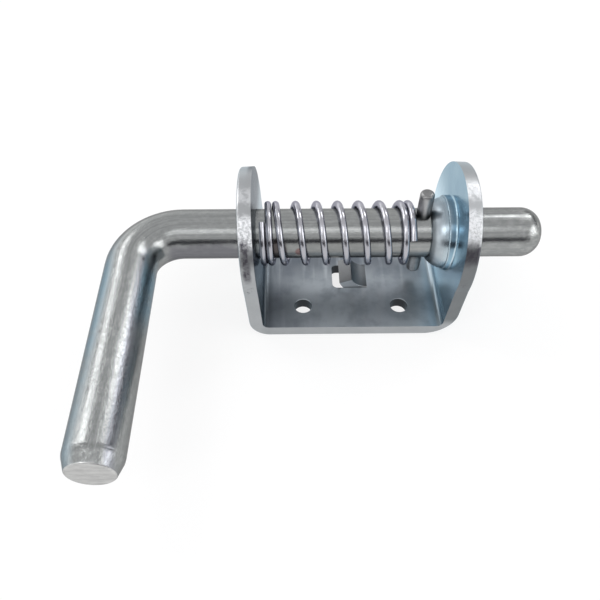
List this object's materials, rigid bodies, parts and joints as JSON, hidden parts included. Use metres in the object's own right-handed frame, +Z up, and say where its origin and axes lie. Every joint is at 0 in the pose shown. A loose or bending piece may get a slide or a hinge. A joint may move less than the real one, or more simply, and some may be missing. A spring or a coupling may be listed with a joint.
{
  "type": "spring latch",
  "caption": "Spring-loaded latch bolt with a bent handle, sliding and turning in a folded sheet bracket that screws down flat; a spring on the bolt pushes its nose out.",
  "frame": {"origin": "middle of the screw pattern, on the bracket's underside", "axes": "+X along the bolt towards its nose, +Z up from the base, and the handle points along -Y"},
  "size_m": [0.1101, 0.0832, 0.0386],
  "materials": {
    "plated_sheet": "bright zinc plating",
    "plated_bar": "bright zinc plating on drawn bar",
    "plated_wire": "bright zinc plating on spring wire",
    "pin_steel": "dull zinc plating"
  },
  "bodies": {
    "bracket": {"bracket": "plated_sheet"},
    "spring": {"spring": "plated_wire"},
    "bolt": {"bolt": "plated_bar", "cross_pin": "pin_steel"}
  },
  "joints": [
    {"name": "handle_turn", "type": "hinge", "parent": "bracket", "child": "spring", "pos_m": [0, 0, 0.0205], "axis": [1, 0, 0], "continuous": true},
    {"name": "bolt_slide", "type": "slide", "parent": "spring", "child": "bolt", "axis": [-1, 0, 0], "range_m": [0, 0.0204], "stiffness_N_per_m": 4400, "springref_m": -0.004, "deforming": ["spring"]}
  ]
}
